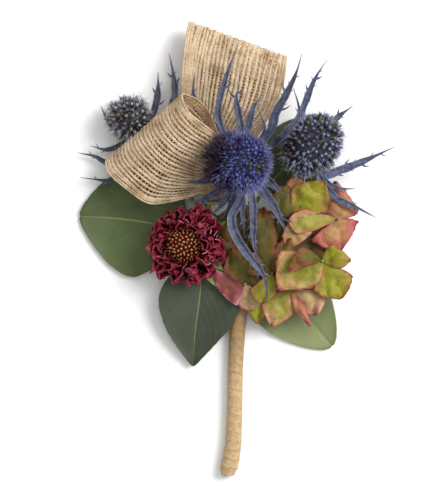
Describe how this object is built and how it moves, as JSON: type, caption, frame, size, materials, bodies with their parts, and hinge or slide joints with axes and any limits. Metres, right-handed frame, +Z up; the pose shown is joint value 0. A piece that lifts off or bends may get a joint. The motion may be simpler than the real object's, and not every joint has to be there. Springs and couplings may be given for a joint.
{
  "type": "boutonniere",
  "caption": "Boutonniere lying on its back: sea hollies, a scabiosa, hydrangea and eucalyptus leaves in front of a jute ribbon bow, stems bound in tan tape.",
  "frame": {"origin": "middle of the outline seen from above, on the surface that the part lies on", "axes": "+Z up from the surface, out of the flowers' faces; +Y along the bound stems towards the flowers and the bow; +X to the right seen from above with the flowers away from the viewer"},
  "size_m": [0.0956, 0.1372, 0.0324],
  "materials": {
    "tape": "matte",
    "jute": "matte",
    "wire": "satin",
    "leaf": "matte",
    "holly_violet": "matte",
    "holly_steel": "matte",
    "holly_slate": "matte",
    "burgundy": "satin",
    "bud": "matte",
    "green": "matte",
    "sepal": "satin"
  },
  "bodies": {
    "root": {"stem_wrap": "tape", "eucalyptus_sprig": "leaf", "sea_holly_centre_head": "holly_violet", "sea_holly_centre_ruff": "holly_steel", "sea_holly_right_head": "holly_slate", "sea_holly_right_ruff": "holly_slate", "sea_holly_left_head": "holly_slate", "sea_holly_left_ruff": "holly_slate", "scabiosa_petals": "burgundy", "scabiosa_disc": "bud", "scabiosa_stem": "green", "hydrangea_cluster": "sepal", "ribbon_loop_upper": "jute", "ribbon_loop_left": "jute", "bow_wire": "wire"}
  },
  "joints": []
}
